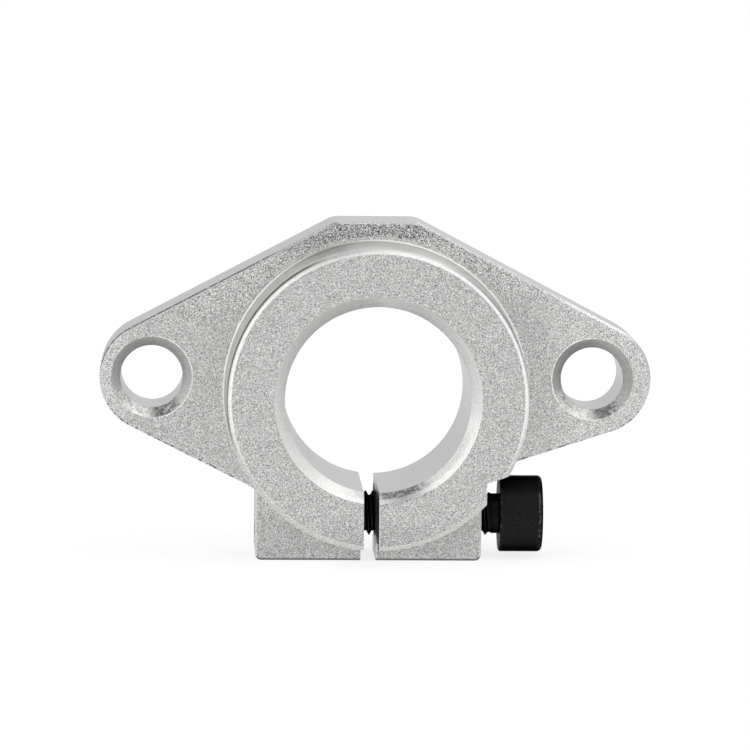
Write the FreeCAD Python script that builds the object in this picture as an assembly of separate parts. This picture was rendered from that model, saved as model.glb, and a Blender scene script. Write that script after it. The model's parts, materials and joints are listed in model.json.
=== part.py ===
"""Flanged shaft support: a cast aluminium block with a split clamping hub, and its clamp screw.

Frame, in millimetres: the origin lies on the axis of the shaft bore, in the flat mounting face
at the back of the flange. +X runs along the flange, +Y points out of the back into whatever the
block is bolted to, and +Z is up. The hub stands forward of the flange, towards -Y.
"""
import FreeCAD, Part
import math
import os

V = FreeCAD.Vector

# Shaft bore and overall length along the shaft
BORE_D = 20.0
BODY_LENGTH = 20.0
BORE_MOUTH_CHAMFER = 1.15
BORE_BACK_CHAMFER = 0.3

# Flange: a flat plate whose upper outline is tangent to a circle round the bore
FLANGE_T = 10.0
CROWN_WALL = 8.5
CROWN_CORNER_R = 2.5
FLANGE_EDGE_BREAK = 0.25

# Ears with the two mounting holes
BOLT_PITCH = 48.0
BOLT_RISE = 1.5
BOLT_SHIFT = -0.35
BOLT_HOLE_D = 6.8
BOLT_SINK = 1.0
EAR_WALL = 2.6

# Hub round the bore, cast with draft
HUB_WALL = 6.2
HUB_DRAFT_DEG = 0.7
HUB_RIM_R = 0.7
HUB_ROOT_R = 0.6

# Clamping foot below the bore, split by the slot
FOOT_LEFT = 13.0
FOOT_RIGHT = 11.7
FOOT_CORNER_R = 0.7
SCREW_BELOW_BORE = 3.85
FOOT_BELOW_SCREW = 4.65
SHOULDER_ABOVE_SCREW = 3.15
SHOULDER_R = 0.8
RELIEF_R = 0.4
SLOT_W = 1.65

# Clamp screw, a cap screw with a hexagon socket, and its holes
SCREW_CREST_D = 4.9
SCREW_NECK_D = 4.4
SCREW_NECK_LENGTH = 1.0
SCREW_LENGTH = 20.0
SCREW_TIP_CHAMFER = 0.5
HEAD_D = 8.4
HEAD_H = 4.75
HEAD_RIM_R = 0.5
HEAD_UNDER_CHAMFER = 0.15
HEAD_STANDOFF = 2.1
HEAD_CLEARANCE = 0.85
SOCKET_AF = 4.0
SOCKET_DEPTH = 2.5
SOCKET_MOUTH = 0.2
THREAD_CLEARANCE = 0.05
SHANK_CLEARANCE = 0.3
TAP_MOUTH_CHAMFER = 0.4

# Places that follow from the sizes
BORE_R = BORE_D / 2.0
BOLT_R = BOLT_HOLE_D / 2.0
CROWN_R = BORE_R + CROWN_WALL
EAR_R = BOLT_R + EAR_WALL
EAR_X = BOLT_PITCH / 2.0
SCREW_Y = -FLANGE_T / 2.0
SCREW_Z = -(BORE_R + SCREW_BELOW_BORE)
FOOT_Z = SCREW_Z - FOOT_BELOW_SCREW
SHOULDER_Z = SCREW_Z + SHOULDER_ABOVE_SCREW
RELIEF_Z = SCREW_Z + HEAD_D / 2.0 + HEAD_CLEARANCE
SLOT_X = (FOOT_RIGHT - FOOT_LEFT) / 2.0
PAST = 1.0


def tangent_point(px, pz, cx, cz, radius, side):
    """Point where the line from (px, pz) touches the circle round (cx, cz).

    side is +1 or -1 and picks one of the two tangent lines.
    """
    reach = math.hypot(px - cx, pz - cz)
    towards = math.atan2(pz - cz, px - cx)
    turn = side * math.acos(radius / reach)
    return cx + radius * math.cos(towards + turn), cz + radius * math.sin(towards + turn)


def flank_normal():
    """Angle of the upper right flank's normal.

    The flank touches both the crown circle round the bore and the circle round the ear.
    """
    reach = math.hypot(EAR_X, BOLT_RISE)
    return math.atan2(BOLT_RISE, EAR_X) + math.acos((CROWN_R - EAR_R) / reach)


def outline_face():
    """The block seen along the shaft, as a flat face in the mounting plane."""
    normal = flank_normal()
    crown_x = CROWN_R * (1.0 - math.sin(normal)) / math.cos(normal)
    ear_top_x = EAR_X + EAR_R * math.cos(normal)
    ear_top_z = BOLT_RISE + EAR_R * math.sin(normal)
    right_x, right_z = tangent_point(FOOT_RIGHT, RELIEF_Z, EAR_X, BOLT_RISE, EAR_R, 1)
    left_x, left_z = tangent_point(-FOOT_LEFT, SHOULDER_Z, -EAR_X, BOLT_RISE, EAR_R, -1)

    def at(x, z):
        return V(x, 0.0, z)

    def line(start, end):
        return Part.LineSegment(at(*start), at(*end)).toShape()

    crown_left = (-crown_x, CROWN_R)
    crown_right = (crown_x, CROWN_R)
    ear_top_right = (ear_top_x, ear_top_z)
    ear_low_right = (right_x, right_z)
    relief = (FOOT_RIGHT, RELIEF_Z)
    foot_right = (FOOT_RIGHT, FOOT_Z)
    foot_left = (-FOOT_LEFT, FOOT_Z)
    shoulder = (-FOOT_LEFT, SHOULDER_Z)
    ear_low_left = (left_x, left_z)
    ear_top_left = (-ear_top_x, ear_top_z)
    right_tip = at(EAR_X + EAR_R, BOLT_RISE)
    left_tip = at(-EAR_X - EAR_R, BOLT_RISE)
    edges = [
        line(crown_left, crown_right),
        line(crown_right, ear_top_right),
        Part.Arc(at(*ear_top_right), right_tip, at(*ear_low_right)).toShape(),
        line(ear_low_right, relief),
        line(relief, foot_right),
        line(foot_right, foot_left),
        line(foot_left, shoulder),
        line(shoulder, ear_low_left),
        Part.Arc(at(*ear_low_left), left_tip, at(*ear_top_left)).toShape(),
        line(ear_top_left, crown_left),
    ]
    corners = [
        (crown_left, CROWN_CORNER_R),
        (crown_right, CROWN_CORNER_R),
        (relief, RELIEF_R),
        (foot_right, FOOT_CORNER_R),
        (foot_left, FOOT_CORNER_R),
        (shoulder, SHOULDER_R),
    ]
    return Part.Face(Part.Wire(edges)), corners


def outline_prism(length):
    """The outline drawn forward from the mounting face, with its corners rounded."""
    face, corners = outline_face()
    prism = face.extrude(V(0.0, -length, 0.0))
    for (x, z), radius in corners:
        upright = [e for e in prism.Edges if stands_at(e, x, z)]
        prism = prism.makeFillet(radius, upright)
    return prism


def stands_at(edge, x, z):
    """True for a straight edge along Y that passes through (x, z)."""
    return all(math.hypot(v.X - x, v.Z - z) < 1e-4 for v in edge.Vertexes)


def flange():
    """The plate with its front edge broken, apart from the edges of the screw's relief."""
    plate = outline_prism(FLANGE_T)
    front = []
    for edge in plate.Edges:
        box = edge.BoundBox
        in_front = box.YMax < -FLANGE_T + 1e-4
        at_relief = box.XMax > FOOT_RIGHT - 1e-4 and box.Center.z < RELIEF_Z + EAR_R
        at_relief = at_relief and box.Center.x < EAR_X
        if in_front and not at_relief:
            front.append(edge)
    return plate.makeChamfer(FLANGE_EDGE_BREAK, front)


def hub():
    """The tapered hub, turned about the bore's axis and trimmed to the block's outline."""
    section = Part.Face(Part.Wire(hub_profile()))
    turned = section.revolve(V(0.0, 0.0, 0.0), V(0.0, 1.0, 0.0), 360.0)
    return turned.common(outline_prism(BODY_LENGTH))


def hub_profile():
    """Half of the hub's section: nose, rounded rim, drafted wall and the fillet on the flange."""
    lean = math.radians(HUB_DRAFT_DEG)

    def wall_r(y):
        """Radius of the drafted wall at a place along the bore."""
        return BORE_R + HUB_WALL + (y + BODY_LENGTH) * math.tan(lean)

    def arc(centre, radius, start, end):
        """Three points of an arc, from one angle to another."""
        turns = (start, (start + end) / 2.0, end)
        return [centre + V(math.cos(t), math.sin(t), 0.0) * radius for t in turns]

    rim_y = -BODY_LENGTH + HUB_RIM_R
    root_y = -FLANGE_T - HUB_ROOT_R
    rim_centre = V(wall_r(rim_y) - HUB_RIM_R / math.cos(lean), rim_y, 0.0)
    root_centre = V(wall_r(root_y) + HUB_ROOT_R / math.cos(lean), root_y, 0.0)
    rim = arc(rim_centre, HUB_RIM_R, -math.pi / 2.0, -lean)
    root = arc(root_centre, HUB_ROOT_R, math.pi - lean, math.pi / 2.0)
    nose = V(0.0, -BODY_LENGTH, 0.0)
    back = V(0.0, 0.0, 0.0)
    buried = V(root_centre.x, 0.0, 0.0)
    return [
        Part.LineSegment(nose, rim[0]).toShape(),
        Part.Arc(*rim).toShape(),
        Part.LineSegment(rim[2], root[0]).toShape(),
        Part.Arc(*root).toShape(),
        Part.LineSegment(root[2], buried).toShape(),
        Part.LineSegment(buried, back).toShape(),
        Part.LineSegment(back, nose).toShape(),
    ]


def round_hole(radius, start, length, axis):
    """A round cutter that starts a little before its first face and ends a little past its last."""
    return Part.makeCylinder(radius, length + 2.0 * PAST, start - axis * PAST, axis)


def sink(radius, depth, mouth, inward):
    """A 45 degree cutter for the mouth of a hole; mouth is its centre on the surface."""
    return Part.makeCone(radius + depth + PAST, radius, depth + PAST, mouth - inward * PAST, inward)


def bore_cut():
    """The shaft bore, with a wide chamfer at the hub's nose and a small one at the back."""
    back = V(0.0, 0.0, 0.0)
    nose = V(0.0, -BODY_LENGTH, 0.0)
    cut = round_hole(BORE_R, back, BODY_LENGTH, V(0.0, -1.0, 0.0))
    cut = cut.fuse(sink(BORE_R, BORE_MOUTH_CHAMFER, nose, V(0.0, 1.0, 0.0)))
    return cut.fuse(sink(BORE_R, BORE_BACK_CHAMFER, back, V(0.0, -1.0, 0.0)))


def mounting_holes():
    """The two bolt holes, countersunk on the front; both lie a little to one side in the ears."""
    cuts = []
    for ear_x in (-EAR_X, EAR_X):
        x = ear_x + BOLT_SHIFT
        cuts.append(round_hole(BOLT_R, V(x, 0.0, BOLT_RISE), FLANGE_T, V(0.0, -1.0, 0.0)))
        cuts.append(sink(BOLT_R, BOLT_SINK, V(x, -FLANGE_T, BOLT_RISE), V(0.0, 1.0, 0.0)))
    return cuts


def clamp_slot():
    """The saw cut from the bore down through the foot, along the whole body."""
    corner = V(SLOT_X - SLOT_W / 2.0, -BODY_LENGTH - PAST, FOOT_Z - PAST)
    return Part.makeBox(SLOT_W, BODY_LENGTH + 2.0 * PAST, -FOOT_Z + PAST, corner)


def screw_holes():
    """A clearance hole through the right half of the foot and a tapped hole through the left."""
    middle = V(SLOT_X, SCREW_Y, SCREW_Z)
    clearance_r = SCREW_CREST_D / 2.0 + SHANK_CLEARANCE
    tapped_r = SCREW_CREST_D / 2.0 + THREAD_CLEARANCE
    left_face = V(-FOOT_LEFT, SCREW_Y, SCREW_Z)
    return [
        Part.makeCylinder(clearance_r, FOOT_RIGHT - SLOT_X + PAST, middle, V(1.0, 0.0, 0.0)),
        Part.makeCylinder(tapped_r, FOOT_LEFT + SLOT_X + PAST, middle, V(-1.0, 0.0, 0.0)),
        sink(tapped_r, TAP_MOUTH_CHAMFER, left_face, V(1.0, 0.0, 0.0)),
    ]


def support_block():
    """The one-piece casting with every machined feature."""
    body = flange().fuse(hub()).removeSplitter()
    cuts = [bore_cut(), clamp_slot()]
    cuts.extend(mounting_holes())
    cuts.extend(screw_holes())
    return body.cut(cuts)


def screw_turning():
    """The screw's solid of revolution, head to the right, before its socket is cut."""
    under = FOOT_RIGHT + HEAD_STANDOFF
    crest_r = SCREW_CREST_D / 2.0
    neck_r = SCREW_NECK_D / 2.0
    head_r = HEAD_D / 2.0
    tip = under - SCREW_LENGTH
    neck_end = under - SCREW_NECK_LENGTH
    step = crest_r - neck_r
    bend = HEAD_RIM_R * (1.0 - math.sqrt(0.5))
    top = under + HEAD_H

    def at(x, r):
        return V(x, SCREW_Y, SCREW_Z + r)

    rows = [
        (top, 0.0),
        (tip, 0.0),
        (tip, crest_r - SCREW_TIP_CHAMFER),
        (tip + SCREW_TIP_CHAMFER, crest_r),
        (neck_end - step, crest_r),
        (neck_end, neck_r),
        (under, neck_r),
        (under, head_r - HEAD_UNDER_CHAMFER),
        (under + HEAD_UNDER_CHAMFER, head_r),
        (top - HEAD_RIM_R, head_r),
    ]
    points = [at(x, r) for x, r in rows]
    edges = [Part.LineSegment(a, b).toShape() for a, b in zip(points, points[1:])]
    rim_end = at(top, head_r - HEAD_RIM_R)
    edges.append(Part.Arc(points[-1], at(top - bend, head_r - bend), rim_end).toShape())
    edges.append(Part.LineSegment(rim_end, points[0]).toShape())
    return Part.Face(Part.Wire(edges)).revolve(at(0.0, 0.0), V(1.0, 0.0, 0.0), 360.0)


def socket_cut():
    """The hexagon socket in the head, with a lead-in at its mouth and a drill point below."""
    top = FOOT_RIGHT + HEAD_STANDOFF + HEAD_H
    corner_r = SOCKET_AF / 2.0 / math.cos(math.pi / 6.0)
    ring = []
    for k in range(6):
        angle = math.pi / 6.0 + k * math.pi / 3.0
        ring.append(V(top, SCREW_Y + corner_r * math.cos(angle), SCREW_Z + corner_r * math.sin(angle)))
    hexagon = Part.Face(Part.makePolygon(ring + ring[:1])).extrude(V(-SOCKET_DEPTH, 0.0, 0.0))
    mouth = sink(corner_r - SOCKET_MOUTH, SOCKET_MOUTH, V(top, SCREW_Y, SCREW_Z), V(-1.0, 0.0, 0.0))
    floor = V(top - SOCKET_DEPTH, SCREW_Y, SCREW_Z)
    drill_r = SOCKET_AF / 2.0
    drill = Part.makeCone(drill_r, 0.0, drill_r * math.tan(math.radians(30.0)), floor, V(-1.0, 0.0, 0.0))
    return [hexagon, mouth, drill]


def clamp_screw():
    """The cap screw, standing a little off its seat so that the slot is open."""
    return screw_turning().cut(socket_cut())


def main():
    """Write each piece to its own file."""
    os.makedirs("parts", exist_ok=True)
    support_block().exportStep("parts/support_block.step")
    clamp_screw().exportStep("parts/clamp_screw.step")


main()
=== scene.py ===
"""Looks of a flanged shaft support: the cast block's finish, its threaded clamp screw and the studio.

Lengths are in metres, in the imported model's own frame: the origin lies on the shaft bore's axis in
the mounting face, +X runs along the flange, +Y out of the back and +Z up.
"""
import json
import logging
import math
from dataclasses import astuple, dataclass, field
from enum import Enum
from typing import Callable, Mapping, Sequence, Union

import bmesh
import bpy
from mathutils import Matrix, Vector


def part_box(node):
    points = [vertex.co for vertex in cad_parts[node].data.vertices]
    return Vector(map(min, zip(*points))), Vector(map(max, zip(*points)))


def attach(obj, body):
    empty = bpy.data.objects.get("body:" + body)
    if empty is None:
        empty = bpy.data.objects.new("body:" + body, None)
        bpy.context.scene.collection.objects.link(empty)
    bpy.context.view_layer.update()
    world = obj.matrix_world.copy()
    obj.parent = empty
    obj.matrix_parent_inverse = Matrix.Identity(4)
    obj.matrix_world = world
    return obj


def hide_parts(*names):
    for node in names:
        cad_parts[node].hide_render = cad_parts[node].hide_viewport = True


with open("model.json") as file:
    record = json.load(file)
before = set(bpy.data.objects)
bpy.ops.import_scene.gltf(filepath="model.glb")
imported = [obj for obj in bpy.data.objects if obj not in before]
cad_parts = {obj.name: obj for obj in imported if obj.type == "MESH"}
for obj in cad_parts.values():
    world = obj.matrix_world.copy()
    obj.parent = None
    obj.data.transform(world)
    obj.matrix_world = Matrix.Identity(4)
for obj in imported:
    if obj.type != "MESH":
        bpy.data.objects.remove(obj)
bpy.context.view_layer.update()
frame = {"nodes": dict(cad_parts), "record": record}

logger = logging.getLogger("shaft_support")

MM = 0.001
WELD = 0.001 * MM
NOISE_MIDDLE = 0.5
NOISE_SPREAD = (0.3, 0.7)

Socket = bpy.types.NodeSocket
Value = Union[float, Socket]
Colour = tuple[float, float, float]
Point = tuple[float, float, float]
Span = tuple[float, float]
Band = tuple[float, float, float]
Masks = dict[str, Socket]


class Slot(Enum):
    """Name of a material slot of the record; no piece made here is given it."""

    STEEL = "black_oxide_steel"


class Sheet:
    """A shader tree with short calls for the nodes that the finishes use."""

    def __init__(self, tree: bpy.types.ShaderNodeTree) -> None:
        """Keep the tree that the calls add to."""
        self.tree = tree

    def node(self, kind: str, **settings: object) -> bpy.types.Node:
        """Add a node.

        Args:
            kind: Type of the node, without its "ShaderNode" start.
            settings: Attributes of the node.

        Returns:
            The new node.
        """
        made = self.tree.nodes.new(kind if kind.startswith("NodeGroup") else "ShaderNode" + kind)
        for name, value in settings.items():
            setattr(made, name, value)
        return made

    def feed(self, target: Socket, value: object) -> None:
        """Link a socket to the target, or set the target to a plain value.

        Args:
            target: Input socket.
            value: Output socket, or a number, colour or vector.
        """
        if isinstance(value, Socket):
            self.tree.links.new(value, target)
        else:
            target.default_value = value

    def math(self, operation: str, *values: Value) -> Socket:
        """Work out one number from others.

        Args:
            operation: Name of the math node's operation.
            values: Numbers or sockets, in the node's order.

        Returns:
            The result's socket.
        """
        made = self.node("Math", operation=operation)
        for target, value in zip(made.inputs, values):
            self.feed(target, value)
        return made.outputs[0]

    def step(self, value: Value, low: float, high: float) -> Socket:
        """Rise smoothly from 0 at low to 1 at high; low may be the larger one.

        Args:
            value: Number or socket to test.
            low: Value that gives 0.
            high: Value that gives 1.

        Returns:
            The result's socket.
        """
        made = self.node("MapRange", interpolation_type="SMOOTHSTEP")
        rising = low < high
        self.feed(made.inputs["Value"], value)
        made.inputs["From Min"].default_value = low if rising else high
        made.inputs["From Max"].default_value = high if rising else low
        made.inputs["To Min"].default_value = 0.0 if rising else 1.0
        made.inputs["To Max"].default_value = 1.0 if rising else 0.0
        return made.outputs["Result"]

    def band(self, value: Value, low: float, high: float, soft: float) -> Socket:
        """Mask the values between low and high.

        Args:
            value: Number or socket to test.
            low: Middle of the edge where the mask rises.
            high: Middle of the edge where it falls.
            soft: Half the width of each edge.

        Returns:
            The mask's socket.
        """
        rise = self.step(value, low - soft, low + soft)
        fall = self.step(value, high + soft, high - soft)
        return self.times(rise, fall)

    def times(self, first: Value, *others: Value) -> Socket:
        """Multiply numbers.

        Args:
            first: Number or socket to start from.
            others: Numbers or sockets to multiply it by.

        Returns:
            The product's socket.
        """
        product = first
        for value in others:
            product = self.math("MULTIPLY", product, value)
        return product

    def outside(self, mask: Value) -> Socket:
        """Mask of what another mask leaves out."""
        return self.math("SUBTRACT", 1.0, mask)

    def swing(self, noise: Value) -> Socket:
        """Noise moved so that it swings about 0."""
        return self.math("SUBTRACT", noise, NOISE_MIDDLE)

    def blend(self, factor: Value, low: Value, high: Value) -> Socket:
        """Mix two numbers.

        Args:
            factor: Share of high, from 0 to 1.
            low: Number or socket where the factor is 0.
            high: Number or socket where it is 1.

        Returns:
            The result's socket.
        """
        made = self.node("Mix", data_type="FLOAT")
        for index, value in ((0, factor), (2, low), (3, high)):
            self.feed(made.inputs[index], value)
        return made.outputs[0]

    def tuned(self, factor: Value, mask: Value, gain: Value) -> Socket:
        """Factor times a gain where the mask is 1."""
        return self.times(factor, self.blend(mask, 1.0, gain))

    def tint(self, factor: Value, low: Union[Colour, Socket], high: Union[Colour, Socket]) -> Socket:
        """Mix two colours.

        Args:
            factor: Share of high, from 0 to 1.
            low: Colour or socket where the factor is 0.
            high: Colour or socket where it is 1.

        Returns:
            The result's socket.
        """
        made = self.node("Mix", data_type="RGBA")
        self.feed(made.inputs[0], factor)
        for index, value in ((6, low), (7, high)):
            self.feed(made.inputs[index], value if isinstance(value, Socket) else (*value, 1.0))
        return made.outputs[2]

    def bump(self, shader: bpy.types.Node, height: Socket, distance: float, strength: Value = 1.0) -> None:
        """Raise bumps on a shader's surface.

        Args:
            shader: Shader that shows them.
            height: Height of the bumps, about 0 to 1.
            distance: Length in metres that a height of 1 stands for.
            strength: Share of the bumps that shows.
        """
        made = self.node("Bump")
        self.feed(made.inputs["Height"], height)
        self.feed(made.inputs["Strength"], strength)
        made.inputs["Distance"].default_value = distance
        self.feed(shader.inputs["Normal"], made.outputs["Normal"])

    def split(self, vector: Socket) -> Sequence[Socket]:
        """Take a vector apart.

        Args:
            vector: Socket of the vector.

        Returns:
            Sockets for its x, y and z.
        """
        made = self.node("SeparateXYZ")
        self.feed(made.inputs[0], vector)
        return made.outputs

    def place(self) -> Sequence[Socket]:
        """Find the position on the piece in millimetres.

        Returns:
            Sockets for x, y and z.
        """
        scaled = self.node("VectorMath", operation="SCALE")
        self.feed(scaled.inputs[0], self.node("TexCoord").outputs["Object"])
        scaled.inputs["Scale"].default_value = 1.0 / MM
        return self.split(scaled.outputs[0])

    def joined(self, *parts: Value) -> Socket:
        """Make a vector.

        Args:
            parts: Numbers or sockets for its x, y and z.

        Returns:
            The vector's socket.
        """
        made = self.node("CombineXYZ")
        for target, value in zip(made.inputs, parts):
            self.feed(target, value)
        return made.outputs[0]

    def length(self, first: Value, second: Value) -> Socket:
        """Root of the sum of two squares."""
        squares = (self.times(value, value) for value in (first, second))
        return self.math("SQRT", self.math("ADD", *squares))

    def facing(self) -> Sequence[Socket]:
        """Direction of the surface on the piece, as sockets for x, y and z."""
        return self.split(self.node("TexCoord").outputs["Normal"])

    def group(self, made: bpy.types.ShaderNodeTree, **values: object) -> bpy.types.Node:
        """Place a node group.

        Args:
            made: The group.
            values: Numbers or sockets for its inputs, by their names.

        Returns:
            The group's node.
        """
        placed = self.node("Group", node_tree=made)
        for name, value in values.items():
            self.feed(placed.inputs[name], value)
        return placed


def moved(limits: Sequence[float], by: float) -> tuple[float, ...]:
    """Move both ends of a span or a band; a band keeps its softness."""
    return (limits[0] + by, limits[1] + by, *limits[2:])


def new_group(
    name: str, inputs: Sequence[str], outputs: Sequence[str]
) -> tuple[Sheet, Mapping[str, Socket], Mapping[str, Socket]]:
    """Start a shader node group whose sockets are all numbers.

    Args:
        name: Name of the group.
        inputs: Names of its input sockets.
        outputs: Names of its output sockets.

    Returns:
        A sheet to fill, the sockets that give its inputs and those that take its outputs.
    """
    made = bpy.data.node_groups.new(name, "ShaderNodeTree")
    for in_out, names in (("INPUT", inputs), ("OUTPUT", outputs)):
        for socket in names:
            made.interface.new_socket(socket, in_out=in_out, socket_type="NodeSocketFloat")
    sheet = Sheet(made)
    return sheet, sheet.node("NodeGroupInput").outputs, sheet.node("NodeGroupOutput").inputs


def grain_group(
    pit_share: float = 0.2, detail: float = 2.0, roughness: float = 0.6
) -> bpy.types.ShaderNodeTree:
    """Grain of a blasted or coated surface, laid over the piece in its own millimetres.

    Args:
        pit_share: Share of pits in the tone; the rest is flat cells.
        detail: Octaves of the pits.
        roughness: Weight of an octave of the pits against the one before.

    Returns:
        A group with inputs Size and Seed and outputs Height and Tone, both about 0 to 1.
    """
    sheet, given, result = new_group("grain", ("Size", "Seed"), ("Height", "Tone"))
    place = sheet.joined(*sheet.place())
    per_mm = sheet.math("DIVIDE", 1.0, given["Size"])
    cells = sheet.node("TexVoronoi", voronoi_dimensions="4D", feature="F1")
    pits = sheet.node("TexNoise", noise_dimensions="4D")
    for texture in (cells, pits):
        sheet.feed(texture.inputs["Vector"], place)
        sheet.feed(texture.inputs["W"], given["Seed"])
        sheet.feed(texture.inputs["Scale"], per_mm)
    pits.inputs["Detail"].default_value = detail
    pits.inputs["Roughness"].default_value = roughness
    cell = sheet.node("SeparateColor")
    sheet.feed(cell.inputs[0], cells.outputs["Color"])
    soft = sheet.step(pits.outputs["Fac"], *NOISE_SPREAD)
    sheet.feed(result["Height"], pits.outputs["Fac"])
    sheet.feed(result["Tone"], sheet.blend(pit_share, cell.outputs[0], soft))
    return sheet.tree


def ring_group(slope: float = 0.5, breaks: float = 1.2) -> bpy.types.ShaderNodeTree:
    """Turning marks round an axis that runs along Y.

    Args:
        slope: How far a mark's radius moves along with y.
        breaks: How often a mark changes on its way round, for each radian.

    Returns:
        A group with inputs X, Z (the axis's place in mm) and Pitch, and output Tone, about 0 to 1.
    """
    sheet, given, result = new_group("turning_marks", ("X", "Z", "Pitch"), ("Tone",))
    x, y, z = sheet.place()
    across = sheet.math("SUBTRACT", x, given["X"])
    above = sheet.math("SUBTRACT", z, given["Z"])
    radius = sheet.length(across, above)
    angle = sheet.math("ARCTAN2", above, across)
    slanted = sheet.math("SUBTRACT", radius, sheet.times(y, slope))
    lines = sheet.math("DIVIDE", slanted, given["Pitch"])
    noise = sheet.node("TexNoise", noise_dimensions="2D")
    sheet.feed(noise.inputs["Vector"], sheet.joined(lines, sheet.times(angle, breaks), 0.0))
    noise.inputs["Scale"].default_value = 1.0
    noise.inputs["Detail"].default_value = 1.0
    sheet.feed(result["Tone"], sheet.step(noise.outputs["Fac"], *NOISE_SPREAD))
    return sheet.tree


def start_material(name: str) -> tuple[bpy.types.Material, Sheet]:
    """Start an empty node material.

    Args:
        name: Name of the material.

    Returns:
        The material and its sheet.
    """
    material = bpy.data.materials.new(name)
    material.use_nodes = True
    material.node_tree.nodes.clear()
    return material, Sheet(material.node_tree)


def start_metal(name: str) -> tuple[bpy.types.Material, Sheet, bpy.types.Node]:
    """Start the node material of a metal.

    Args:
        name: Name of the material.

    Returns:
        The material, its sheet and its Principled shader, already linked to the output.
    """
    material, sheet = start_material(name)
    shader = sheet.node("BsdfPrincipled")
    shader.inputs["Metallic"].default_value = 1.0
    output = sheet.node("OutputMaterial")
    sheet.feed(output.inputs["Surface"], shader.outputs["BSDF"])
    return material, sheet, shader


@dataclass(frozen=True)
class Surface:
    """Finish of one kind of surface on the block.

    tone is its reflectance, rough its roughness, grain the depth of its speckle and relief the
    strength of its bumps.
    """

    tone: float
    rough: float
    grain: float
    relief: float


@dataclass(frozen=True)
class Sector:
    """Part of a round chamfer, told by how far to the right of the hole's axis and how low it lies.

    Both are shares of a point's distance from the axis, from -1 to 1.
    """

    right: Band
    low: Span

    def mask(self, sheet: Sheet, rightness: Socket, lowness: Socket) -> Socket:
        """Mask of the sector."""
        return sheet.times(sheet.band(rightness, *self.right), sheet.step(lowness, *self.low))


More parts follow.
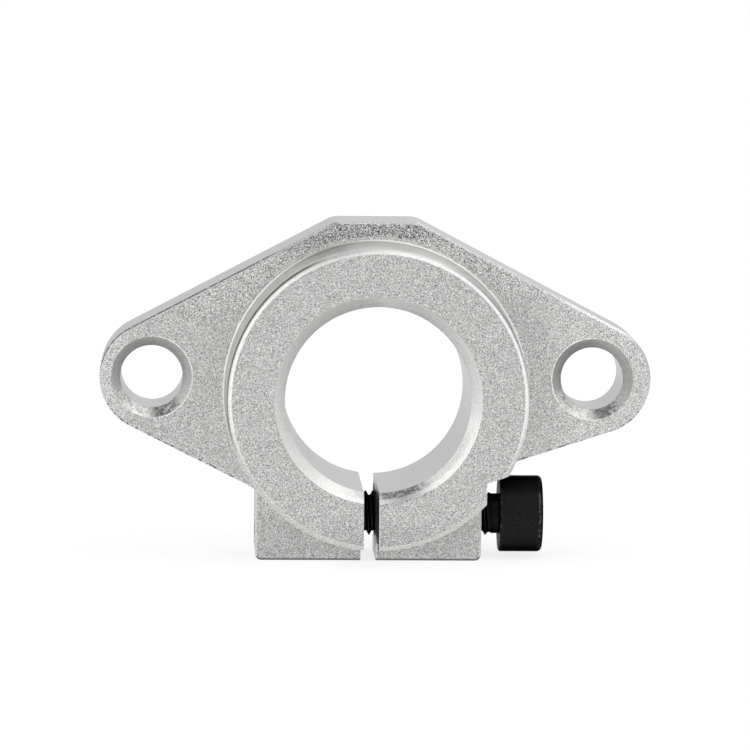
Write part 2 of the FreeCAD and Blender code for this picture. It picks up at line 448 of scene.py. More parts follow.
@dataclass(frozen=True)
class CastZones:
    """Limits that tell the block's surfaces apart by where they lie and which way they face.

    A pair holds the values where a mask is 0 and where it is 1, a triple a band's two ends and its
    softness. Names with _mm are places or distances, those with facing compare the surface's
    direction and those with noise the fine noise. lean tilts the crown's limits.
    """

    hole_mm: Span = (0.4, 0.2)
    hub_mm: Band = (-1.2, 0.9, 0.1)
    flange_mm: Span = (0.7, 0.9)
    ears_mm: Span = (2.5, 6.5)
    before_flange_mm: Span = (0.02, 0.0)
    root_mm: Span = (-1.5, -1.2)
    nose_mm: Band = (0.35, 1.85, 0.12)
    edge_soft_mm: float = 0.02
    crown_mm: Span = (15.4, 16.9)
    high_mm: Span = (8.0, 13.5)
    lean: float = 0.08
    burr_mm: Band = (-0.03, 0.12, 0.02)
    burr_inward_mm: Span = (2.0, -2.0)
    slot_edge_mm: Band = (-0.825, 0.09, 0.03)
    slot_wall_mm: Band = (-0.825, 0.03, 0.015)
    slot_top_mm: Span = (-9.0, -9.5)
    facing_across: Span = (0.35, 0.15)
    facing_slanted: Band = (-0.80, -0.60, 0.03)
    facing_turned: Band = (-0.955, -0.30, 0.02)
    facing_front: Span = (-0.93, -0.985)
    facing_root_end: Span = (-0.80, -0.90)
    facing_left: Span = (-0.15, -0.30)
    nose_facing_x: Span = (-0.28, -0.50)
    nose_facing_y: Span = (-0.65, -0.45)
    nose_facing_z: Span = (-0.40, -0.05)
    burr_noise: Span = (0.38, 0.50)
    slot_noise: Span = (0.42, 0.55)
    ragged: float = 0.07

    def masks(self, sheet: Sheet, block: "CastBlock", rag: Socket) -> Masks:
        """Make the masks.

        Args:
            sheet: Sheet of the material.
            block: Sizes of the block.
            rag: Fine noise that makes the edges of the turned rim ragged.

        Returns:
            Masks of the surfaces, the place in mm, the direction and the nearest hole's axis.
        """
        x, y, z = sheet.place()
        facing_x, facing_y, facing_z = sheet.facing()
        radius = sheet.length(x, z)
        side = sheet.math("SIGN", x)
        bolt_x = sheet.math("ADD", sheet.times(side, block.bolt_span_mm / 2.0), block.bolt_shift_mm)
        from_bolt = sheet.math("SUBTRACT", x, bolt_x)
        bolt_radius = sheet.length(from_bolt, sheet.math("SUBTRACT", z, block.bolt_z_mm))
        in_bore = sheet.step(radius, *moved(self.hole_mm, block.mouth_r_mm))
        in_bolt = sheet.step(bolt_radius, *moved(self.hole_mm, block.sink_r_mm))
        machined = sheet.math("MAXIMUM", in_bore, in_bolt)
        across = sheet.step(sheet.math("ABSOLUTE", facing_y), *self.facing_across)
        slanted = sheet.band(facing_y, *self.facing_slanted)
        sink = sheet.times(machined, slanted)
        before_flange = sheet.step(y, *moved(self.before_flange_mm, block.flange_y_mm))
        on_hub = sheet.times(sheet.band(radius, *moved(self.hub_mm, block.hub_r_mm)), before_flange)
        at_root = sheet.step(y, *moved(self.root_mm, block.flange_y_mm))
        root_end = sheet.times(on_hub, at_root, sheet.step(facing_y, *self.facing_root_end))
        torn_y = sheet.math("ADD", facing_y, sheet.times(sheet.swing(rag), self.ragged))
        rim = sheet.times(on_hub, sheet.band(torn_y, *self.facing_turned), sheet.outside(root_end))
        front = sheet.math("MAXIMUM", sheet.step(facing_y, *self.facing_front), root_end)
        flange = sheet.step(radius, *moved(self.flange_mm, block.hub_r_mm))
        flange_face = sheet.times(front, flange)
        leaning_z = sheet.math("SUBTRACT", z, sheet.times(x, self.lean))
        edge_end = block.flange_y_mm + block.edge_mm
        on_edge = sheet.band(y, block.flange_y_mm, edge_end, self.edge_soft_mm)
        # Burrs round the countersinks; with the slot's edge below, they carry a painted highlight.
        burr = sheet.times(
            sheet.band(bolt_radius, *moved(self.burr_mm, block.sink_r_mm)),
            sheet.step(sheet.times(side, from_bolt), *self.burr_inward_mm),
            sheet.step(rag, *self.burr_noise),
        )
        under_bore = sheet.step(z, *self.slot_top_mm)
        slot_edge = sheet.times(
            sheet.band(x, *moved(self.slot_edge_mm, block.slot_wall_x_mm)),
            sheet.step(rag, *self.slot_noise),
            under_bore,
        )
        # Band behind the hub's rim on its left, which carries a painted dark line.
        nose = sheet.times(
            on_hub,
            sheet.band(y, *moved(self.nose_mm, block.nose_y_mm)),
            sheet.step(facing_x, *self.nose_facing_x),
            sheet.step(facing_z, *self.nose_facing_z),
            sheet.step(facing_y, *self.nose_facing_y),
        )
        slot_wall = sheet.band(x, *moved(self.slot_wall_mm, block.slot_wall_x_mm))
        return {
            "x": x,
            "y": y,
            "z": z,
            "facing_x": facing_x,
            "facing_z": facing_z,
            "axis_x": sheet.times(bolt_x, in_bolt),
            "axis_z": sheet.times(in_bolt, block.bolt_z_mm),
            "in_bolt": in_bolt,
            "on_hub": on_hub,
            "flange": flange,
            "crown": sheet.times(sheet.step(leaning_z, *self.crown_mm), flange_face),
            "high": sheet.times(flange_face, sheet.step(leaning_z, *self.high_mm)),
            "ears": sheet.step(radius, *moved(self.ears_mm, block.hub_r_mm)),
            "leftward": sheet.step(facing_x, *self.facing_left),
            "nose": nose,
            "slot_wall": sheet.times(slot_wall, under_bore, across),
            "front": front,
            "corner": sheet.times(sheet.outside(machined), slanted, on_edge),
            "hub_wall": sheet.times(on_hub, across),
            "rim": rim,
            "root": sheet.times(rim, at_root),
            "bore": sheet.times(machined, across),
            "sink": sink,
            "bolt_sink": sheet.times(sink, in_bolt),
            "burr": sheet.times(front, sheet.math("MAXIMUM", burr, slot_edge)),
        }


@dataclass(frozen=True)
class FaceLightAndShade:
    """Painted light and shade on the blasted faces: gains on their tone and the spans of x or z where they
    set in. The right ear, the upper flange, the left side and the left end are paler; the left ear, the
    foot and the crown above the hub are darker.
    """

    left_ear: float = 0.96
    right_ear: float = 1.12
    middle_mm: Span = (-1.0, 1.0)
    high: float = 1.08
    left_side: float = 1.03
    left_side_mm: Span = (-9.0, -13.0)
    left_end: float = 1.15
    left_end_mm: Span = (-25.5, -28.0)
    foot: float = 0.88
    foot_mm: Span = (-12.0, -15.0)
    crown: float = 0.64

    def factor(self, sheet: Sheet, masks: Masks) -> Socket:
        """Make the factor on the tone.

        Args:
            sheet: Sheet of the material.
            masks: Masks of the surfaces.

        Returns:
            The factor's socket.
        """
        x = masks["x"]
        # Painted light on the ears: the right one paler, the left one darker.
        ear = sheet.blend(sheet.step(x, *self.middle_mm), self.left_ear, self.right_ear)
        factor = sheet.blend(masks["ears"], 1.0, ear)
        # Painted light and shade: paler upper flange, left side and left end, darker foot.
        for mask, gain in (
            (masks["high"], self.high),
            (sheet.times(masks["flange"], sheet.step(x, *self.left_side_mm)), self.left_side),
            (sheet.step(x, *self.left_end_mm), self.left_end),
            (sheet.step(masks["z"], *self.foot_mm), self.foot),
        ):
            factor = sheet.tuned(factor, mask, gain)
        factor = sheet.blend(masks["front"], 1.0, factor)
        # Painted shade on the crown, which the hub shades.
        return sheet.tuned(factor, masks["crown"], self.crown)


@dataclass(frozen=True)
class EdgeLightAndShade:
    """Painted light and shade along edges and on the hub: painted dark lines on the upper left and on the
    downward-facing edges, painted glints on the upper right, and painted shade and highlights on the hub's
    rim and wall.

    A gain's limits are named after it, as in CastZones.
    """

    upward_facing_z: Span = (0.05, 0.20)
    rim_below: float = 0.60
    rim_below_facing_z: Span = (0.05, -0.30)
    wall_glow: float = 1.08
    wall_glow_facing_z: Span = (0.5, 0.8)
    wall_top: float = 1.12
    wall_top_facing_z: Span = (0.85, 0.96)
    wall_shade: float = 0.80
    wall_shade_facing_x: Band = (-0.46, -0.20, 0.05)
    wall_shade_behind_mm: Span = (2.0, 5.0)
    corner_line: float = 0.25
    corner_line_x_mm: Span = (-9.0, -13.0)
    corner_line_behind_mm: Span = (0.10, 0.14)
    corner_line_noise: Span = (0.36, 0.46)
    corner_glint: float = 1.55
    corner_glint_facing_x: Span = (0.10, 0.25)
    corner_glint_x_mm: Span = (18.0, 23.0)
    sole: float = 0.30
    sole_facing_z: Span = (-0.25, -0.45)
    sole_z_mm: Span = (-16.8, -17.3)
    sole_noise: Span = (0.50, 0.58)

    def factor(self, sheet: Sheet, masks: Masks, block: "CastBlock", patch: Socket) -> Socket:
        """Make the factor on the tone.

        Args:
            sheet: Sheet of the material.
            masks: Masks of the surfaces.
            block: Sizes of the block.
            patch: Coarse noise that breaks the lines.

        Returns:
            The factor's socket.
        """
        x, y, z, facing_x, facing_z = (masks[name] for name in ("x", "y", "z", "facing_x", "facing_z"))
        hub_wall, corner, leftward = masks["hub_wall"], masks["corner"], masks["leftward"]
        upward = sheet.step(facing_z, *self.upward_facing_z)
        below = sheet.times(masks["rim"], sheet.step(facing_z, *self.rim_below_facing_z))
        glow = sheet.math("MAXIMUM", leftward, sheet.step(facing_z, *self.wall_glow_facing_z))
        shade = sheet.times(
            sheet.band(facing_x, *self.wall_shade_facing_x),
            upward,
            sheet.step(y, *moved(self.wall_shade_behind_mm, block.nose_y_mm)),
            masks["on_hub"],
        )
        line = sheet.times(
            corner,
            leftward,
            sheet.step(x, *self.corner_line_x_mm),
            upward,
            sheet.step(y, *moved(self.corner_line_behind_mm, block.flange_y_mm)),
            sheet.step(patch, *self.corner_line_noise),
        )
        glint = sheet.times(
            corner,
            sheet.step(facing_x, *self.corner_glint_facing_x),
            upward,
            sheet.step(x, *self.corner_glint_x_mm),
        )
        sole = sheet.times(
            corner,
            sheet.step(facing_z, *self.sole_facing_z),
            sheet.math("MAXIMUM", sheet.step(z, *self.sole_z_mm), sheet.step(patch, *self.sole_noise)),
        )
        # Painted shade under the rim, painted highlights on the wall's left and upper parts and its top,
        # painted shade on its upper left, then a painted dark line on the upper left edge, painted glints
        # on the upper right edge and painted shade on the downward-facing edges.
        factor = sheet.blend(below, 1.0, self.rim_below)
        for mask, gain in (
            (sheet.times(hub_wall, glow), self.wall_glow),
            (sheet.times(hub_wall, sheet.step(facing_z, *self.wall_top_facing_z)), self.wall_top),
            (shade, self.wall_shade),
            (line, self.corner_line),
            (glint, self.corner_glint),
            (sole, self.sole),
        ):
            factor = sheet.tuned(factor, mask, gain)
        return factor


@dataclass(frozen=True)
class ChamferLightAndMarks:
    """Painted light and shade and dark marks in the machined chamfers: painted sparkle low on the left of
    the countersinks, a painted highlight on the left of the bore's chamfer, painted shade low in its inner
    part and near the slot, dark patches low on the right of the countersinks, and flecks round the bore's
    chamfer.

    A gain's limits are named after it, as in CastZones; right and low are those of a Sector.
    """

    dark_patch: float = 0.42
    dark_patch_noise: Span = (0.40, 0.56)
    bolt_dark_patch: Sector = Sector((0.10, 0.72, 0.10), (0.3, 0.5))
    slot_shade_patch: Sector = Sector((-0.02, 0.48, 0.10), (0.5, 0.7))
    sparkle: float = 1.75
    sparkle_noise: Span = (0.35, 0.60)
    bolt_sparkle: Sector = Sector((-0.95, -0.05, 0.12), (0.15, 0.45))
    inner: float = 0.80
    inner_mm: Span = (-0.35, -0.65)
    inner_low: Span = (0.2, 0.5)
    inner_right: Span = (-0.45, -0.15)
    left: float = 1.10
    left_corner: float = 1.20
    left_right: Span = (-0.05, -0.55)
    left_corner_low: Span = (0.3, 0.6)
    fleck: float = 0.40
    fleck_mm: Band = (-0.08, 0.14, 0.03)
    fleck_behind_mm: Span = (0.4, 0.2)
    fleck_noise: Span = (0.50, 0.58)

    def factor(self, sheet: Sheet, masks: Masks, block: "CastBlock", patch: Socket) -> Socket:
        """Make the factor on the tone.

        Args:
            sheet: Sheet of the material.
            masks: Masks of the surfaces.
            block: Sizes of the block.
            patch: Coarse noise that breaks the marks.

        Returns:
            The factor's socket.
        """
        across = sheet.math("SUBTRACT", masks["x"], masks["axis_x"])
        above = sheet.math("SUBTRACT", masks["z"], masks["axis_z"])
        reach = sheet.length(across, above)
        right = sheet.math("DIVIDE", across, reach)
        low = sheet.math("DIVIDE", sheet.times(above, -1.0), reach)
        bore_sink = sheet.times(masks["sink"], sheet.outside(masks["in_bolt"]))
        inner = sheet.times(sheet.step(reach, *moved(self.inner_mm, block.mouth_r_mm)), bore_sink)
        near_slot = self.slot_shade_patch.mask(sheet, right, low)
        # Dark patches low on the right of the countersinks, and painted shade in the bore's chamfer near
        # the slot.
        dark_patch = sheet.math(
            "MAXIMUM",
            sheet.times(self.bolt_dark_patch.mask(sheet, right, low), masks["bolt_sink"]),
            sheet.times(near_slot, inner),
        )
        dark_patch = sheet.times(dark_patch, sheet.step(patch, *self.dark_patch_noise))
        # Painted sparkle low on the left of the countersinks.
        sparkle = sheet.times(
            self.bolt_sparkle.mask(sheet, right, low),
            masks["bolt_sink"],
            sheet.step(patch, *self.sparkle_noise),
        )
        factor = sheet.blend(dark_patch, sheet.blend(sparkle, 1.0, self.sparkle), self.dark_patch)
        # Painted shade low in the inner part of the bore's chamfer, and a painted highlight on its left
        # side.
        lower = sheet.times(inner, sheet.step(low, *self.inner_low), sheet.step(right, *self.inner_right))
        leftmost = sheet.times(bore_sink, sheet.step(right, *self.left_right))
        slanting = sheet.step(sheet.math("ABSOLUTE", low), *self.left_corner_low)
        fleck = sheet.times(
            sheet.band(reach, *moved(self.fleck_mm, block.mouth_r_mm)),
            sheet.step(masks["y"], *moved(self.fleck_behind_mm, block.nose_y_mm)),
            near_slot,
            sheet.step(patch, *self.fleck_noise),
        )
        factor = sheet.tuned(factor, lower, self.inner)
        factor = sheet.tuned(factor, leftmost, sheet.blend(slanting, self.left, self.left_corner))
        return sheet.tuned(factor, fleck, self.fleck)


@dataclass(frozen=True)
class ShadeAndStreaks:
    """Painted shade in dull dark metal: a dark line behind the hub's rim, and the screw's painted shadow
    on the slot's wall beside it, with dark streaks above and below the screw.
    """

    tone: float = 0.10
    rough: float = 0.95
    line_noise: Span = (0.40, 0.56)
    line_depth: Span = (0.50, 0.95)
    streak_mm: float = 0.22
    streak: float = 0.08
    streak_noise: Span = (0.40, 0.50)
    behind_mm: Span = (11.0, 7.0)
    below_screw_mm: Band = (-18.4, -15.2, 0.3)
    beside_screw_mm: Band = (-15.6, -11.3, 0.3)
    above_screw_mm: Band = (-12.2, -10.8, 0.2)

    def mask(self, sheet: Sheet, masks: Masks, block: "CastBlock", rag: Socket) -> Socket:
        """Make the mask of the painted shade and the streaks.

        Args:
            sheet: Sheet of the material.
            masks: Masks of the surfaces.
            block: Sizes of the block.
            rag: Fine noise that breaks the line.

        Returns:
            The mask's socket.
        """
        x, y, z = masks["x"], masks["y"], masks["z"]
        noise = sheet.node("TexNoise")
        sheet.feed(noise.inputs["Vector"], sheet.joined(x, sheet.times(y, self.streak), z))
        noise.inputs["Scale"].default_value = 1.0 / self.streak_mm
        streaks = sheet.step(noise.outputs["Fac"], *self.streak_noise)
        depth = sheet.blend(sheet.step(rag, *self.line_noise), *self.line_depth)
        before = sheet.step(y, *moved(self.behind_mm, block.nose_y_mm))
        below = sheet.times(sheet.band(z, *self.below_screw_mm), before)
        spots = sheet.math("MAXIMUM", below, sheet.band(z, *self.above_screw_mm))
        # Dark streaks above and below the screw, and the screw's painted shadow on the slot's wall beside
        # it.
        wall = sheet.math("MAXIMUM", sheet.times(spots, streaks), sheet.band(z, *self.beside_screw_mm))
        wall = sheet.times(wall, masks["slot_wall"])
        # Painted shade: the dark line behind the hub's rim, joined to the slot wall's marks.
        return sheet.math("MAXIMUM", sheet.times(masks["nose"], depth), wall)


@dataclass(frozen=True)
class CastFinish:
    """Blasted aluminium with smooth flanks, a turned rim and machined bores, with painted light and shade
    on its tone.
    """

    front: Surface = Surface(0.557, 0.50, 1.74, 1.0)
    flank: Surface = Surface(0.555, 0.36, 0.06, 0.05)
    corner: Surface = Surface(0.62, 0.35, 1.20, 0.6)
    hub_wall: Surface = Surface(0.80, 0.30, 0.06, 0.05)
    rim: Surface = Surface(1.0, 0.46, 0.80, 0.4)
    root: Surface = Surface(0.76, 0.34, 0.15, 0.1)
    bore: Surface = Surface(0.485, 0.32, 0.04, 0.03)
    sink: Surface = Surface(0.90, 0.32, 0.55, 0.2)
    bolt_sink: Surface = Surface(0.60, 0.36, 0.60, 0.3)
    # Painted highlight on the real burrs round the countersinks and along the slot's edge.
    burr: Surface = Surface(0.92, 0.30, 0.90, 0.3)
    order: tuple[str, ...] = (
        "front", "corner", "hub_wall", "rim", "root", "bore", "sink", "bolt_sink", "burr",
    )
    zones: CastZones = CastZones()
    face_light_and_shade: FaceLightAndShade = FaceLightAndShade()
    edge_light_and_shade: EdgeLightAndShade = EdgeLightAndShade()
    chamfer_light_and_marks: ChamferLightAndMarks = ChamferLightAndMarks()
    shade_and_streaks: ShadeAndStreaks = ShadeAndStreaks()
    metal: Colour = (1.0, 0.998, 0.985)
    nose_shade_tint: Colour = (1.0, 0.94, 0.85)
    high_grain: float = 1.80
    crown_grain: float = 1.60
    grain_mm: float = 0.065
    grain_seed: float = 1.7
    relief_mm: float = 0.20
    relief_seed: float = 5.3
    patch_mm: float = 0.35
    patch_seed: float = 9.2
    relief_m: float = 0.00002
    mark_pitch_mm: float = 0.08
    mark_depth: float = 0.12

    def build(self, block: "CastBlock", effects: "Effects") -> bpy.types.Material:
        """Make the material.

        Args:
            block: Sizes of the block.
            effects: The shared node groups.

        Returns:
            The finished material.
        """
        material, sheet, shader = start_metal("blasted_aluminium")
        speck = sheet.group(effects.grain, Size=self.grain_mm, Seed=self.grain_seed)
        bumps = sheet.group(effects.grain, Size=self.relief_mm, Seed=self.relief_seed)
        patch = sheet.group(effects.grain, Size=self.patch_mm, Seed=self.patch_seed).outputs["Height"]
        rag = speck.outputs["Height"]
        masks = self.zones.masks(sheet, block, rag)
        marks = sheet.group(effects.marks, X=masks["axis_x"], Z=masks["axis_z"], Pitch=self.mark_pitch_mm)
        values: Sequence[Value] = astuple(self.flank)
        for name in self.order:
            surface = astuple(getattr(self, name))
            values = [sheet.blend(masks[name], old, new) for old, new in zip(values, surface)]
        level, rough, grain, relief = values
        shade_and_streaks = self.shade_and_streaks.mask(sheet, masks, block, rag)
        # Painted light and shade on the faces, the edges and the chamfers, and the painted dark line and
        # shadow, scale the tone.
        level = sheet.times(
            level,
            self.face_light_and_shade.factor(sheet, masks),
            self.edge_light_and_shade.factor(sheet, masks, block, patch),
            self.chamfer_light_and_marks.factor(sheet, masks, block, patch),
            sheet.blend(shade_and_streaks, 1.0, self.shade_and_streaks.tone),
        )
        grain = sheet.tuned(grain, masks["crown"], self.crown_grain)
        grain = sheet.tuned(grain, masks["high"], self.high_grain)
        speckle = sheet.times(sheet.swing(speck.outputs["Tone"]), grain)
        lines = sheet.times(sheet.swing(marks.outputs["Tone"]), self.mark_depth, masks["sink"])
        level = sheet.times(level, sheet.math("ADD", 1.0, sheet.math("ADD", speckle, lines)))
        # Warm tint in the painted dark line behind the hub's rim.
        light = sheet.tint(masks["nose"], self.metal, self.nose_shade_tint)
        sheet.feed(shader.inputs["Base Color"], sheet.tint(level, (0.0, 0.0, 0.0), light))
        sheet.feed(shader.inputs["Roughness"], sheet.blend(shade_and_streaks, rough, self.shade_and_streaks.rough))
        sheet.bump(shader, bumps.outputs["Height"], self.relief_m, relief)
        return material


@dataclass(frozen=True)
class OxideFinish:
    """Black oxide on steel, rubbed along the edges of the screw's head."""

    dark: Colour = (0.0112, 0.0112, 0.01152)
    light: Colour = (0.0208, 0.0208, 0.02112)
    worn: Colour = (0.085, 0.085, 0.0867)
    edge_glow: Colour = (0.30, 0.30, 0.30)
    rough: Span = (0.31, 0.41)
    grain_mm: float = 0.12
    grain_seed: float = 4.1
    relief_m: float = 0.000006
    wear_mm: float = 0.30
    wear_seed: float = 2.6
    wear_noise: Span = (0.45, 0.62)
    seat_edge_mm: Band = (-0.02, 0.22, 0.04)
    top_edge_mm: Band = (-0.50, -0.25, 0.08)

    def build(self, screw: "ClampScrew", effects: "Effects") -> bpy.types.Material:
        """Make the material.

        Args:
            screw: Sizes and place of the screw.
            effects: The shared node groups.

        Returns:
            The finished material.
        """
        material, sheet, shader = start_metal("black_oxide")
        x, _, _ = sheet.place()
        speck = sheet.group(effects.grain, Size=self.grain_mm, Seed=self.grain_seed)
        wear = sheet.group(effects.grain, Size=self.wear_mm, Seed=self.wear_seed)
        edges = sheet.math(
            "MAXIMUM",
            sheet.band(x, *moved(self.seat_edge_mm, screw.seat_x / MM)),
            sheet.band(x, *moved(self.top_edge_mm, screw.top_x / MM)),
        )
        rubbed = sheet.times(edges, sheet.step(wear.outputs["Height"], *self.wear_noise))
        colour = sheet.tint(speck.outputs["Tone"], self.dark, self.light)
        sheet.feed(shader.inputs["Base Color"], sheet.tint(rubbed, colour, self.worn))
        sheet.feed(shader.inputs["Roughness"], sheet.blend(speck.outputs["Tone"], *self.rough))
        sheet.bump(shader, speck.outputs["Height"], self.relief_m)
        shader.inputs["Specular Tint"].default_value = (*self.edge_glow, 1.0)
        return material


def dress(piece: bpy.types.Object, material: bpy.types.Material) -> None:
    """Give a piece one material."""
    piece.data.materials.clear()
    piece.data.materials.append(material)


@dataclass(frozen=True)
class Photograph:
    """Camera of the photograph, fitted to the bore, the bolt holes and the flange's edges."""

    azimuth_deg: float = -2.098
    elevation_deg: float = 5.600
    roll_deg: float = 0.514
    distance: float = 551.09 * MM
    focal_px: float = 5068.6
    frame_px: float = 750.0
    aim: Point = (-0.065 * MM, -10.0 * MM, 1.849 * MM)
    sensor_mm: float = 36.0
    clip: Span = (0.01, 20.0)

    def build(self) -> None:
        """Make the camera and make it the scene's own."""
        azimuth = math.radians(self.azimuth_deg)
        elevation = math.radians(self.elevation_deg)
        back = Vector((
            math.sin(azimuth) * math.cos(elevation),
            -math.cos(azimuth) * math.cos(elevation),
            math.sin(elevation),
        ))
        right = (-back).cross(Vector((0.0, 0.0, 1.0))).normalized()
        up = right.cross(-back)
        turn = Matrix.Rotation(math.radians(self.roll_deg), 3, back)
        axes = Matrix((turn @ right, turn @ up, back)).transposed()
        data = bpy.data.cameras.new("photo_camera")
        data.sensor_width = self.sensor_mm
        data.sensor_fit = "HORIZONTAL"
        data.lens = self.focal_px * self.sensor_mm / self.frame_px
        data.clip_start, data.clip_end = self.clip
        camera = bpy.data.objects.new("photo_camera", data)
        camera.matrix_world = Matrix.Translation(Vector(self.aim) + back * self.distance) @ axes.to_4x4()
        bpy.context.collection.objects.link(camera)
        bpy.context.scene.camera = camera


@dataclass(frozen=True)
class Effects:
    """Shader node groups that the finishes share."""

    grain: bpy.types.ShaderNodeTree
    marks: bpy.types.ShaderNodeTree


@dataclass(frozen=True)
class Panel:
    """Evenly lit part of the tent.

    turn_deg is its span of angles round Y, from +X towards +Z, and reach is its span along Y,
    where straight ahead of the block is -1 and straight behind it is 1.
    """

    turn_deg: Span
    reach: Span
    level: float
    soft_deg: float = 4.0
    soft: float = 0.05

    def mask(self, sheet: Sheet, turn: Socket, y: Socket) -> Socket:
        """Mask of the panel."""
        around = sheet.band(turn, *self.turn_deg, self.soft_deg)
        return sheet.times(around, sheet.band(y, *self.reach, self.soft))


@dataclass(frozen=True)
class Studio:
    """White floor inside a light tent, whose brightness depends on the direction alone.

    Of the panels, three are lamps and the last is the dim slit between the two upper ones.
    """

    floor_z: float
    floor_r: float = 2.0
    floor_points: int = 64
    floor_colour: Colour = (0.30, 0.30, 0.30)
    floor_glow: float = 0.80
    front: float = 0.92
    dark: float = 0.12
    dark_reach: Span = (-0.05, 0.18)
    over: float = 0.9
    over_deg: Band = (48.0, 92.0, 4.0)
    over_reach: Span = (0.0, 0.2)
    panels: tuple[Panel, ...] = (
        Panel((-8.0, 48.0), (-0.55, -0.26), 1.35),
        Panel((48.0, 91.0), (-0.55, 0.08), 1.35),
        Panel((120.0, 184.0), (-0.55, 0.10), 1.35),
        Panel((94.0, 116.0), (-0.80, 0.80), 0.35, soft_deg=3.0),
    )
    backdrop: float = 1.0
    backdrop_reach: Span = (0.80, 0.90)
    seen: float = 1.0

    def build(self) -> None:
        """Make the floor and the tent."""
        self.floor()
        self.tent()

    def tent(self) -> None:
        """Make the world: lit front, lamps, dim slit, dark corners behind and white backdrop."""
        world = bpy.data.worlds.new("light_tent")
        bpy.context.scene.world = world
        world.use_nodes = True
        sheet = Sheet(world.node_tree)
        x, y, z = sheet.split(sheet.node("TexCoord").outputs["Generated"])
        turn = sheet.times(sheet.math("ARCTAN2", z, x), math.degrees(1.0))
        level = sheet.blend(sheet.step(y, *self.dark_reach), self.front, self.dark)
        over = sheet.times(sheet.band(turn, *self.over_deg), sheet.step(y, *self.over_reach))
        level = sheet.blend(over, level, self.over)
        for panel in self.panels:
            level = sheet.blend(panel.mask(sheet, turn, y), level, panel.level)
        level = sheet.blend(sheet.step(y, *self.backdrop_reach), level, self.backdrop)
        level = sheet.blend(sheet.node("LightPath").outputs["Is Camera Ray"], level, self.seen)
        shade = world.node_tree.nodes["Background"]
        shade.inputs["Color"].default_value = (1.0, 1.0, 1.0, 1.0)
        sheet.feed(shade.inputs["Strength"], level)

    def floor(self) -> None:
        """Make the floor: matt, with a glow that only the camera and reflections see."""
        angles = [2.0 * math.pi * k / self.floor_points for k in range(self.floor_points)]
        verts = [(self.floor_r * math.cos(a), self.floor_r * math.sin(a), self.floor_z) for a in angles]
        mesh = bpy.data.meshes.new("floor")
        mesh.from_pydata(verts, [], [tuple(range(self.floor_points))])
        floor = bpy.data.objects.new("floor", mesh)
        bpy.context.collection.objects.link(floor)
        material, sheet = start_material("white_floor")
        matt = sheet.node("BsdfDiffuse")
        matt.inputs["Color"].default_value = (*self.floor_colour, 1.0)
        glow = sheet.node("Emission")
        path = sheet.node("LightPath")
        seen = sheet.math("MAXIMUM", path.outputs["Is Camera Ray"], path.outputs["Is Glossy Ray"])
        seen = sheet.math("MAXIMUM", seen, path.outputs["Is Transmission Ray"])
        sheet.feed(glow.inputs["Strength"], sheet.times(seen, self.floor_glow))
        both = sheet.node("AddShader")
        sheet.feed(both.inputs[0], matt.outputs[0])
        sheet.feed(both.inputs[1], glow.outputs[0])
        output = sheet.node("OutputMaterial")
        sheet.feed(output.inputs["Surface"], both.outputs[0])
        dress(floor, material)


def mount(name: str) -> dict:
    """Mount of the record by its name."""
    return next(entry for entry in frame["record"]["mounts"] if entry["name"] == name)


@dataclass
class CastBlock:
    """The cast block: flange, hub and clamping foot."""

    mouth_mm: float = 1.15
    hub_wall_mm: float = 6.2
    bolt_sink_mm: float = 1.0
    nose_y_mm: float = -20.0
    flange_y_mm: float = -10.0
    edge_mm: float = 0.25
    slot_x_mm: float = -0.65
    slot_w_mm: float = 1.65
    bore_r_mm: float = field(init=False)
    bolt_r_mm: float = field(init=False)
    bolt_span_mm: float = field(init=False)
    bolt_shift_mm: float = field(init=False)
    bolt_z_mm: float = field(init=False)

    def __post_init__(self) -> None:
        """Take the bore and the bolt holes from the record."""
        bolts = mount("mounting_bolts")
        self.bore_r_mm = mount("shaft_bore")["dims"]["r_mm"]
        self.bolt_r_mm = bolts["dims"]["hole_r_mm"]
        self.bolt_span_mm = bolts["dims"]["spacing_x_mm"]
        self.bolt_shift_mm = bolts["pos_m"][0] / MM
        self.bolt_z_mm = bolts["pos_m"][2] / MM

    @property
    def mouth_r_mm(self) -> float:
        """Radius of the bore's chamfer at the hub's face."""
        return self.bore_r_mm + self.mouth_mm

    @property
    def hub_r_mm(self) -> float:
        """Radius of the hub at its nose."""
        return self.bore_r_mm + self.hub_wall_mm

    @property
    def sink_r_mm(self) -> float:
        """Radius of a countersink at the flange's face."""
        return self.bolt_r_mm + self.bolt_sink_mm

    @property
    def slot_wall_x_mm(self) -> float:
        """Place of the slot's right wall."""
        return self.slot_x_mm + self.slot_w_mm / 2.0

    def build(self, effects: Effects) -> bpy.types.Object:
        """Dress the block.

        Args:
            effects: The shared node groups.

        Returns:
            The block.
        """
        block = frame["nodes"]["support_block"]
        dress(block, CastFinish().build(self, effects))
        return block


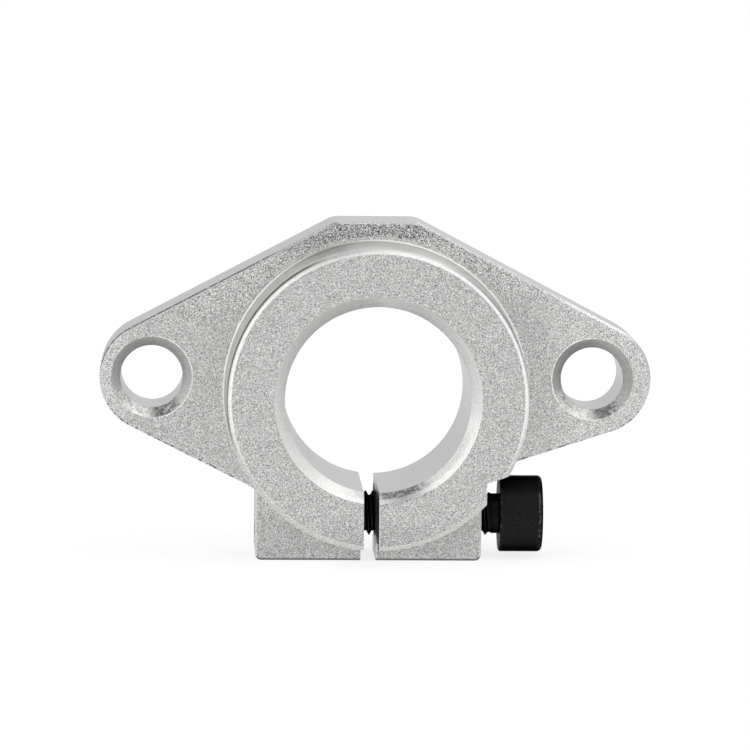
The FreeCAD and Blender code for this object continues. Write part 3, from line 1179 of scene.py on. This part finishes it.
class Lathe:
    """Mesh of rings round an axis that runs along X."""

    def __init__(self, y: float, z: float, segments: int) -> None:
        """Start with no rings.

        Args:
            y: Place of the axis.
            z: Height of the axis.
            segments: Points in each ring.
        """
        self.y = y
        self.z = z
        self.segments = segments
        self.points: list[Point] = []
        self.faces: list[tuple[int, ...]] = []

    def ring(self, place: Callable[[float], tuple[float, float]]) -> None:
        """Add a ring and join it to the last one.

        Args:
            place: Gives x and the radius at an angle in radians.
        """
        count = self.segments
        start = len(self.points)
        for k in range(count):
            angle = 2.0 * math.pi * k / count
            x, radius = place(angle)
            self.points.append((x, self.y + radius * math.cos(angle), self.z + radius * math.sin(angle)))
        if start:
            for k in range(count):
                after = (k + 1) % count
                self.faces.append((start - count + k, start + k, start + after, start - count + after))

    def close(self, last: bool) -> None:
        """Cap one end.

        Args:
            last: Whether it is the last ring's end, not the first one's.
        """
        start = len(self.points) - self.segments if last else 0
        ring = tuple(range(start, start + self.segments))
        self.faces.append(ring[::-1] if last else ring)

    def finish(self, name: str, crease_deg: float) -> bpy.types.Object:
        """Make the object.

        Args:
            name: Its name.
            crease_deg: Angle past which an edge stays sharp.

        Returns:
            The object, linked to the scene.
        """
        mesh = bpy.data.meshes.new(name)
        mesh.from_pydata(self.points, [], self.faces)
        shape = bmesh.new()
        shape.from_mesh(mesh)
        bmesh.ops.remove_doubles(shape, verts=shape.verts, dist=WELD)
        bmesh.ops.dissolve_degenerate(shape, edges=shape.edges, dist=WELD)
        bmesh.ops.recalc_face_normals(shape, faces=shape.faces)
        shape.to_mesh(mesh)
        shape.free()
        mesh.shade_smooth()
        mesh.set_sharp_from_angle(angle=math.radians(crease_deg))
        made = bpy.data.objects.new(name, mesh)
        bpy.context.collection.objects.link(made)
        return made


@dataclass
class ClampScrew:
    """Socket-head cap screw that closes the slot, with its real thread.

    root_flat and crest_flat are shares of the pitch. drill_gap is the ledge that the socket's floor
    leaves round the drill's cone, and drill_tip_r the radius of the cone's flat end.
    """

    crest_r: float = 2.45 * MM
    root_r: float = 1.97 * MM
    pitch: float = 0.8 * MM
    root_flat: float = 0.24
    crest_flat: float = 0.12
    neck_r: float = 2.20 * MM
    neck_length: float = 0.55 * MM
    neck_chamfer: float = 0.1 * MM
    run_out: float = 1.1 * MM
    tip_chamfer: float = 0.5 * MM
    head_h: float = 4.75 * MM
    head_rim_r: float = 0.5 * MM
    head_rim_steps: int = 6
    under_chamfer: float = 0.15 * MM
    seat_gap: float = 0.02 * MM
    socket_af: float = 4.0 * MM
    socket_depth: float = 2.5 * MM
    socket_mouth: float = 0.2 * MM
    drill_gap: float = 0.1 * MM
    drill_tip_r: float = 0.1 * MM
    drill_tip_depth: float = 0.6 * MM
    crease_deg: float = 35.0
    segments: int = 60
    tip_x: float = field(init=False)
    top_x: float = field(init=False)
    seat_x: float = field(init=False)
    head_r: float = field(init=False)

    def build(self, effects: Effects) -> bpy.types.Object:
        """Make the screw where the solid one stands.

        Args:
            effects: The shared node groups.

        Returns:
            The screw.
        """
        low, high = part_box("clamp_screw")
        centre = (low + high) / 2.0
        self.tip_x = low.x
        self.top_x = high.x
        self.seat_x = high.x - self.head_h
        self.head_r = (high.z - low.z) / 2.0
        lathe = Lathe(centre.y, centre.z, self.segments)
        lathe.ring(lambda _: (self.tip_x, self.tip_r))
        lathe.close(last=False)
        self.thread(lathe)
        self.head(lathe)
        self.socket(lathe)
        screw = lathe.finish("threaded_clamp_screw", self.crease_deg)
        dress(screw, OxideFinish().build(self, effects))
        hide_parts("clamp_screw")
        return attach(screw, "screw")

    @property
    def tip_r(self) -> float:
        """Radius of the flat end of the tip."""
        return self.crest_r - self.tip_chamfer

    @property
    def thread_end_x(self) -> float:
        """Place where the thread ends at the neck."""
        return self.seat_x - self.neck_length

    def thread(self, lathe: Lathe) -> None:
        """Run the rings of the helix from the tip to the neck.

        Args:
            lathe: Mesh that takes the rings.
        """
        profile = (
            (0.0, self.root_r),
            (self.root_flat / 2.0, self.root_r),
            ((1.0 - self.crest_flat) / 2.0, self.crest_r),
            ((1.0 + self.crest_flat) / 2.0, self.crest_r),
            (1.0 - self.root_flat / 2.0, self.root_r),
        )
        turns = math.ceil((self.thread_end_x - self.tip_x) / self.pitch)
        for turn in range(-1, turns):
            for share, radius in profile:
                lathe.ring(lambda angle: self.on_thread(turn + share, radius, angle))
        lathe.ring(lambda _: (self.thread_end_x, self.neck_r))

    def on_thread(self, turn: float, radius: float, angle: float) -> tuple[float, float]:
        """Place one point of the thread.

        Args:
            turn: Turns from the tip.
            radius: Radius of the profile there.
            angle: Angle round the axis.

        Returns:
            The point's x and radius.
        """
        x = self.tip_x + (turn + angle / (2.0 * math.pi)) * self.pitch
        x = min(max(x, self.tip_x), self.thread_end_x)
        chamfer_r = self.tip_r + (x - self.tip_x)
        fade = min(1.0, (self.thread_end_x - x) / self.run_out)
        return x, min(self.neck_r + (radius - self.neck_r) * fade, chamfer_r)

    def head(self, lathe: Lathe) -> None:
        """Add the neck, the seat under the head, its side and its rounded rim.

        Args:
            lathe: Mesh that takes the rings.
        """
        seat = self.seat_x + self.seat_gap
        outline = [
            (seat - self.neck_chamfer, self.neck_r),
            (seat, self.neck_r + self.neck_chamfer),
            (seat, self.head_r - self.under_chamfer),
            (seat + self.under_chamfer, self.head_r),
        ]
        for k in range(self.head_rim_steps + 1):
            angle = math.pi / 2.0 * k / self.head_rim_steps
            outline.append((
                self.top_x - self.head_rim_r + self.head_rim_r * math.sin(angle),
                self.head_r - self.head_rim_r + self.head_rim_r * math.cos(angle),
            ))
        for x, radius in outline:
            lathe.ring(lambda _: (x, radius))

    def socket(self, lathe: Lathe) -> None:
        """Sink the hexagon into the head's top.

        Args:
            lathe: Mesh that takes the rings.
        """
        inner_r = self.socket_af / 2.0
        sixth = math.pi / 3.0

        def hexagon(angle: float) -> float:
            """Radius of the hexagon at an angle."""
            return inner_r / math.cos(angle % sixth - sixth / 2.0)

        mouth_r = inner_r / math.cos(sixth / 2.0) + self.socket_mouth / 2.0
        floor_x = self.top_x - self.socket_depth
        lathe.ring(lambda _: (self.top_x, mouth_r))
        lathe.ring(lambda angle: (self.top_x - (mouth_r - hexagon(angle)), hexagon(angle)))
        lathe.ring(lambda angle: (floor_x, hexagon(angle)))
        lathe.ring(lambda _: (floor_x, inner_r - self.drill_gap))
        lathe.ring(lambda _: (floor_x - self.drill_tip_depth, self.drill_tip_r))
        lathe.close(last=True)


def main() -> None:
    """Build everything in order."""
    logging.basicConfig(level=logging.INFO)
    effects = Effects(grain=grain_group(), marks=ring_group())
    low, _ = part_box("support_block")
    bpy.context.scene.view_settings.view_transform = "Standard"
    Photograph().build()
    Studio(floor_z=low.z).build()
    for maker in (CastBlock(), ClampScrew()):
        piece = maker.build(effects)
        logger.info("%s: %d faces", piece.name, len(piece.data.polygons))


if __name__ == "__main__":
    main()
